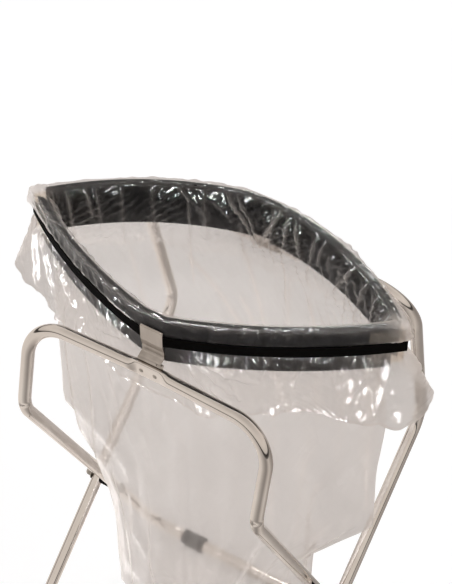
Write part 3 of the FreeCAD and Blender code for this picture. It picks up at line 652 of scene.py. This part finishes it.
def add_node(material, kind, settings=None, inputs=None):
    """Adds a node with its settings and inputs; an input given as a node's output is linked."""
    tree = material.node_tree
    node = tree.nodes.new(kind)
    for key, value in (settings or {}).items():
        setattr(node, key, value)
    for key, value in (inputs or {}).items():
        socket = node.inputs[key]
        if isinstance(value, bpy.types.NodeSocket):
            tree.links.new(value, socket)
        else:
            socket.default_value = value
    return node


def new_material(name, **inputs):
    """A material with one Principled shader; a name's underscores stand for its spaces."""
    material = bpy.data.materials.new(name)
    material.use_nodes = True
    shader = material.node_tree.nodes["Principled BSDF"]
    for key, value in inputs.items():
        shader.inputs[key.replace("_", " ")].default_value = value
    return material, shader


def link(material, output, shader, name):
    material.node_tree.links.new(output, shader.inputs[name])


def ramp(material, factor, stops):
    """A colour ramp through (place, hex) stops."""
    node = add_node(material, "ShaderNodeValToRGB", inputs={"Fac": factor})
    elements = node.color_ramp.elements
    while len(elements) < len(stops):
        elements.new(0.5)
    for element, (place, code) in zip(elements, stops):
        element.position = place
        element.color = linear(code)
    return node.outputs["Color"]


def span(material, value, low, high):
    """A value from 0 to 1 mapped to a range."""
    inputs = {"Value": value, "To Min": low, "To Max": high}
    return add_node(material, "ShaderNodeMapRange", inputs=inputs).outputs["Result"]


def maths(material, operation, *values, clamp=False):
    """One Math node on up to three values."""
    settings = {"operation": operation, "use_clamp": clamp}
    return add_node(material, "ShaderNodeMath", settings, dict(enumerate(values))).outputs["Value"]


def noise(material, vector, detail):
    """Noise with features one unit of its coordinates apart."""
    inputs = {"Vector": vector, "Scale": 1.0, "Detail": detail, "Roughness": 0.5}
    return add_node(material, "ShaderNodeTexNoise", inputs=inputs).outputs["Fac"]


def stretched(material, scale, source="Object", lean=0.0):
    """Coordinates scaled by axis, so that a pattern runs long one way, first turned by a lean where there is one."""
    place = add_node(material, "ShaderNodeTexCoord").outputs[source]
    if lean:
        turned = add_node(material, "ShaderNodeMapping", inputs={"Vector": place, "Rotation": (0, 0, lean)})
        place = turned.outputs["Vector"]
    return add_node(material, "ShaderNodeMapping", inputs={"Vector": place, "Scale": scale}).outputs["Vector"]


def bump(material, shader, height, distance, strength=1.0):
    """Roughens a surface's normal, and its clear coat's too, by a height pattern."""
    node = add_node(material, "ShaderNodeBump", inputs={"Height": height, "Distance": distance, "Strength": strength})
    link(material, node.outputs["Normal"], shader, "Normal")
    link(material, node.outputs["Normal"], shader, "Coat Normal")
    return node


def polished_steel():
    """Polished stainless tube: a near mirror, with the faint haze that the buffing wheel leaves."""
    material, shader = new_material("polished_stainless_steel", Metallic=1.0)
    cloud = noise(material, stretched(material, (14, 14, 14)), 4.0)
    link(material, ramp(material, cloud, [(0.3, "#cfc8c2"), (0.7, "#dcd7d2")]), shader, "Base Color")
    link(material, span(material, cloud, 0.035, 0.075), shader, "Roughness")
    return material


def brushed_steel(name, low, high):
    """Cold-rolled stainless sheet, brushed: fine streaks run up and down the face and spread the highlight."""
    material, shader = new_material(name, Metallic=1.0)
    streaks = noise(material, stretched(material, (2600, 2600, 40)), 2.0)
    patches = noise(material, stretched(material, (60, 60, 20)), 3.0)
    link(material, ramp(material, patches, [(0.3, low), (0.7, high)]), shader, "Base Color")
    link(material, span(material, streaks, 0.26, 0.44), shader, "Roughness")
    bump(material, shader, streaks, 0.00002, 0.35)
    return material


def band_plastic():
    """Extruded ABS, black: the die leaves a soft sheen and very faint lines along the strip."""
    material, shader = new_material("extruded_abs", Specular_IOR_Level=0.06)
    lines = noise(material, stretched(material, (3, 3, 900)), 2.0)
    cloud = noise(material, stretched(material, (40, 40, 40)), 3.0)
    link(material, ramp(material, cloud, [(0.3, "#0b0b0d"), (0.7, "#121214")]), shader, "Base Color")
    link(material, span(material, lines, 0.36, 0.48), shader, "Roughness")
    bump(material, shader, lines, 0.00004, 0.4)
    return material


def rubber():
    """Moulded nitrile rubber, black and matt, with the grain of the mould."""
    material, shader = new_material("moulded_rubber", Roughness=0.72)
    grain = noise(material, stretched(material, (1400, 1400, 1400)), 2.0)
    link(material, ramp(material, grain, [(0.2, "#161618"), (0.8, "#252527")]), shader, "Base Color")
    bump(material, shader, grain, 0.0001, 0.4)
    return material


def woven_elastic():
    """Woven elastic: ribs of rubber core thread run across the strap, about a millimetre apart, under polyester
    yarn that swallows most light."""
    material, shader = new_material("woven_elastic", Roughness=0.9, Specular_IOR_Level=0.08)
    run = stretched(material, (1, 1, 1), "UV")
    ribs = add_node(material, "ShaderNodeTexWave", {"wave_type": "BANDS", "bands_direction": "Y"},
                    {"Vector": run, "Scale": 240.0, "Distortion": 0.6, "Detail": 1.0}).outputs["Fac"]
    rows = add_node(material, "ShaderNodeTexWave", {"wave_type": "BANDS", "bands_direction": "X"},
                    {"Vector": run, "Scale": 190.0, "Distortion": 0.3, "Detail": 1.0}).outputs["Fac"]
    both = maths(material, "MULTIPLY", ribs, rows)
    link(material, ramp(material, both, [(0.0, "#030303"), (0.6, "#0d0b0a")]), shader, "Base Color")
    bump(material, shader, both, 0.00025, 0.6)
    return material


def packing_tape():
    """Light brown packing tape, half clear: dark where it lies on the black bands, beige between their ends."""
    material, shader = new_material("polypropylene_packing_tape", Roughness=0.3, IOR=1.02, Coat_Weight=0.4,
                                    Coat_Roughness=0.1, Transmission_Weight=0.97)
    streaks = noise(material, stretched(material, (60, 60, 900)), 2.0)
    link(material, ramp(material, streaks, [(0.3, "#f0e4d3"), (0.7, "#f5ece0")]), shader, "Base Color")
    bump(material, shader, streaks, 0.0001, 0.5)
    return material


def bag_polythene():
    """Blown polythene film, 0.05 mm: clear enough to show what lies against it, with a little haze, and a wet gloss
    on its flat facets. The hem, the gathers and the bunched tips are several layers, so whiter, and so is film seen
    along its surface."""
    material, shader = new_material("blown_polythene_film", Roughness=0.5, IOR=1.006, Coat_Weight=1.0,
                                    Coat_Roughness=0.04, Coat_IOR=1.26, Transmission_Weight=1.0,
                                    Base_Color=linear("#f4f2f1"))
    facets = []
    for lean, scale in ((0.45, (34, 13, 1)), (-0.60, (85, 24, 1))):
        inputs = {"Vector": stretched(material, scale, "UV", lean), "Scale": 1.0, "Randomness": 1.0}
        facets.append(add_node(material, "ShaderNodeTexVoronoi", {"feature": "F1"}, inputs).outputs["Distance"])
    dent = bump(material, shader, maths(material, "MULTIPLY_ADD", facets[1], 0.25, facets[0]), 0.0020).outputs["Normal"]
    layers = add_node(material, "ShaderNodeAttribute", {"attribute_name": "layers"}).outputs["Fac"]
    facing = add_node(material, "ShaderNodeLayerWeight", inputs={"Blend": 0.5}).outputs["Facing"]
    milky = maths(material, "MULTIPLY_ADD", maths(material, "POWER", facing, 5.0), 0.60, 0.002)
    milky = maths(material, "ADD", milky, layers, clamp=True)
    white = linear("#ece3dc")
    front = add_node(material, "ShaderNodeBsdfDiffuse", inputs={"Color": white, "Normal": dent}).outputs["BSDF"]
    back = add_node(material, "ShaderNodeBsdfTranslucent", inputs={"Color": white, "Normal": dent}).outputs["BSDF"]
    surface = shader.outputs["BSDF"]
    hazy = add_node(material, "ShaderNodeMixShader", inputs={0: 0.13, 1: surface, 2: back}).outputs["Shader"]
    thick = add_node(material, "ShaderNodeMixShader", inputs={0: 0.45, 1: front, 2: back}).outputs["Shader"]
    whole = add_node(material, "ShaderNodeMixShader", inputs={0: milky, 1: hazy, 2: thick}).outputs["Shader"]
    material.node_tree.links.new(whole, material.node_tree.nodes["Material Output"].inputs["Surface"])
    return material


# Stage and light

def ray_choice(owner, camera, through, glossy, rest):
    """One colour for each kind of ray: seen straight, seen through the film, mirrored, and lighting the object."""
    path = add_node(owner, "ShaderNodeLightPath")
    value = rest
    for ray, colour in (("Is Glossy Ray", glossy), ("Is Transmission Ray", through), ("Is Camera Ray", camera)):
        mix = add_node(owner, "ShaderNodeMix", {"data_type": "RGBA"})
        owner.node_tree.links.new(path.outputs[ray], mix.inputs[0])
        for socket, tone in ((mix.inputs[6], value), (mix.inputs[7], colour)):
            if isinstance(tone, bpy.types.NodeSocket):
                owner.node_tree.links.new(tone, socket)
            else:
                socket.default_value = tone
        value = mix.outputs[2]
    return value


# What upright steel tube mirrors of the floor, by the bearing round the object from due left and anticlockwise
FLOOR_STRIPES = (
    (0.0, "#dfd8d1"), (0.175, "#dfd8d1"), (0.24, "#b5afa9"), (0.30, "#8e8984"), (0.34, "#78736e"), (0.36, "#78736e"),
    (0.408, "#aea8a2"), (0.458, "#cac3bc"), (0.508, "#a39d97"), (0.564, "#807a75"), (0.63, "#6d6863"),
    (0.75, "#8a857f"), (0.86, "#dfd8d1"), (1.0, "#dfd8d1"),
)
# What steel mirrors of the sky, from straight down to straight up: a dark belt just over the horizon
SKY_BELTS = (
    (0.0, "#8f8a86"), (0.03, "#5a5653"), (0.12, "#343230"), (0.18, "#e0d9d2"), (0.45, "#f4ece4"), (0.75, "#e8e0d9"),
    (1.0, "#cfc8c1"),
)
# Lamps: name, place, width, height, watts, and whether they light everything or are only mirrored by the film
LAMPS = (
    ("left_strip", (-2.6, -1.5, 1.4), 0.10, 2.2, 30.0, False),
    ("front_strip", (-1.1, -2.8, 1.4), 0.10, 2.2, 34.0, False),
    ("rear_box", (-0.6, 2.2, 2.8), 1.0, 0.30, 24.0, True),
    ("low_front_mirror", (-1.3, -2.3, 0.5), 1.3, 0.8, 260.0, False),
    ("floor_mirror", (-0.9, -1.9, 0.18), 1.1, 0.25, 75.0, False),
    ("left_mirror", (-2.9, -0.7, 1.5), 0.8, 1.6, 190.0, False),
    ("front_mirror", (-0.2, -3.0, 1.5), 0.7, 1.4, 280.0, False),
    ("right_mirror", (1.7, -2.3, 0.9), 0.7, 1.1, 190.0, False),
    ("top_mirror", (-0.9, 1.1, 3.2), 0.45, 0.45, 42.0, False),
)
FLOOR_HALF, FLOOR_Z = 30.0, -0.0004
LIT_AT = (0, 0, 0.8)


def add_stage(films):
    """A pale floor whose shadow stays, a pale sky, one soft lamp that lights everything and lamps that only the film
    mirrors, for its crisp highlights."""
    add_floor()
    add_world()
    mirrors = bpy.data.collections.new("film_pieces")
    for piece in films:
        mirrors.objects.link(piece)
    for name, place, width, height, power, lights_all in LAMPS:
        data = bpy.data.lights.new(name, "AREA")
        data.shape = "RECTANGLE"
        data.size, data.size_y = width, height
        data.energy = power
        lamp = bpy.data.objects.new(name, data)
        lamp.visible_diffuse = lights_all
        lamp.visible_transmission = lights_all
        if not lights_all:
            lamp.light_linking.receiver_collection = mirrors
        lamp.location = place
        lamp.rotation_euler = (Vector(LIT_AT) - Vector(place)).to_track_quat("-Z", "Y").to_euler()
        bpy.context.scene.collection.objects.link(lamp)


def add_floor():
    """The floor: white seen straight, a warm grey through the film, and striped by bearing where steel mirrors it."""
    material, shader = new_material("pale_floor", Roughness=0.95, Specular_IOR_Level=0.0, Base_Color=linear("#908b88"))
    tree = material.node_tree
    place = add_node(material, "ShaderNodeTexCoord").outputs["Object"]
    place = add_node(material, "ShaderNodeSeparateXYZ", inputs={"Vector": place})
    bearing = maths(material, "ARCTAN2", place.outputs["Y"], place.outputs["X"])
    inputs = {"Value": bearing, "From Min": -math.pi, "From Max": math.pi}
    bearing = add_node(material, "ShaderNodeMapRange", inputs=inputs).outputs["Result"]
    tone = ray_choice(material, (0.79, 0.80, 0.81, 1), (0.41, 0.39, 0.377, 1), ramp(material, bearing, FLOOR_STRIPES),
                      (0, 0, 0, 1))
    glow = add_node(material, "ShaderNodeEmission", inputs={"Strength": 1.0, "Color": tone})
    both = add_node(material, "ShaderNodeAddShader", inputs={0: shader.outputs["BSDF"], 1: glow.outputs["Emission"]})
    tree.links.new(both.outputs["Shader"], tree.nodes["Material Output"].inputs["Surface"])
    corners = np.array([[-1, -1], [1, -1], [1, 1], [-1, 1]]) * FLOOR_HALF
    corners = np.concatenate([corners, np.full((4, 1), FLOOR_Z)], axis=1)
    floor = mesh_piece("floor", corners, np.array([[0, 1, 2, 3]]))
    floor.data.materials.append(material)


def add_world():
    """A pale sky: white behind the object, a warm grey seen through the film, and belts for the steel to mirror."""
    world = bpy.data.worlds.new("pale_sky")
    world.use_nodes = True
    bpy.context.scene.world = world
    place = add_node(world, "ShaderNodeTexCoord").outputs["Generated"]
    height = add_node(world, "ShaderNodeSeparateXYZ", inputs={"Vector": place}).outputs["Z"]
    tone = ray_choice(world, (1, 1, 1, 1), linear("#d9d4d1"), ramp(world, height, SKY_BELTS), (0.62, 0.62, 0.62, 1))
    world.node_tree.links.new(tone, world.node_tree.nodes["Background"].inputs["Color"])


def dress(piece, material, body, nodes):
    """Gives a new piece its material and body, and hides the CAD nodes that it stands for."""
    piece.data.materials.clear()
    piece.data.materials.append(material)
    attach(piece, body)
    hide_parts(*nodes)
    return piece


add_camera()
steel, sheet = polished_steel(), brushed_steel("brushed_stainless_sheet", "#a7a099", "#bfb8b1")
bolts = brushed_steel("turned_stainless_steel", "#a8a29b", "#c4beb7")
plastic, black_rubber = band_plastic(), rubber()
elastic, tape, film = woven_elastic(), packing_tape(), bag_polythene()

NODE_LOOKS = {
    "front_frame_feet": black_rubber, "rear_frame_feet": black_rubber,
    "front_hinge_leaf": sheet, "rear_hinge_leaf": sheet, "front_clip": sheet, "rear_clip": sheet,
    "front_band_cradle": sheet, "rear_band_cradle": sheet,
    "front_hinge_pin": bolts, "rear_hinge_pin": bolts, "front_leaf_rivets": bolts, "rear_leaf_rivets": bolts,
    "pivot_bolts": bolts, "pivot_washers": bolts, "pivot_cap_nuts": bolts,
    "pivot_spacers": plastic,
}
for node_name, look in NODE_LOOKS.items():
    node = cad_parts[node_name]
    node.data.materials.clear()
    node.data.materials.append(look)

for name, (side, half_width, knee_drop, corner_r) in FRAMES.items():
    tube = frame_tube(name + "_tube", side, half_width, knee_drop, corner_r)
    dress(tube, steel, name + "_stand", [name + "_frame_tube"])

# Each strip: name, material, slot, body, node, section, first share, last share, count of sections
LEFT, RIGHT = 0.0, KNOTS[3]
SHORT, REACH = BAND_SHORT / GIRTH, TAPE_REACH / GIRTH
band_section = oblong(-BAND_T, 0.0, BAND_LOW, RIM_Z, EDGE_BREAK)
tape_section = oblong(TAPE_IN, TAPE_OUT, TAPE_LOW, TAPE_HIGH, TAPE_EDGE)
strap_section = oblong(STRAP_IN, STRAP_OUT, STRAP_Z - STRAP_H / 2, STRAP_Z + STRAP_H / 2, STRAP_EDGE)
STRIPS = (
    ("front_strip", plastic, "black_plastic", "front_hoop", "front_band", band_section,
     LEFT + SHORT, RIGHT - SHORT, 260),
    ("rear_strip", plastic, "black_plastic", "rear_hoop", "rear_band", band_section, RIGHT + SHORT, 1 - SHORT, 260),
    ("left_tape", tape, "packing_tape", "rear_hoop", "left_tip_tape", tape_section, -REACH, REACH, 40),
    ("right_tape", tape, "packing_tape", "rear_hoop", "right_tip_tape", tape_section, RIGHT - REACH, RIGHT + REACH, 40),
    ("strap", elastic, "elastic", "rear_hoop", "elastic_strap", strap_section, 0.5 / 700, 699.5 / 700, 700),
)
hoop_pieces = []
for name, look, slot_name, body, node_name, section, first, last, count in STRIPS:
    strip = hoop_strip(name, section, np.linspace(first, last, count))
    hoop_pieces.append(dress(strip, look, body, [node_name]))
films = [dress(piece, film, "rear_hoop", ["bin_bag"]) for piece in (bag_film(), skirt_film())]
hoop_pieces += films

# Each piece on the hoop is given a mesh of its own.
for piece in hoop_pieces:
    side = -1 if piece.name == "front_strip" else 1
    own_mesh(piece)

add_stage(films)
bpy.context.scene.view_settings.view_transform = "Standard"
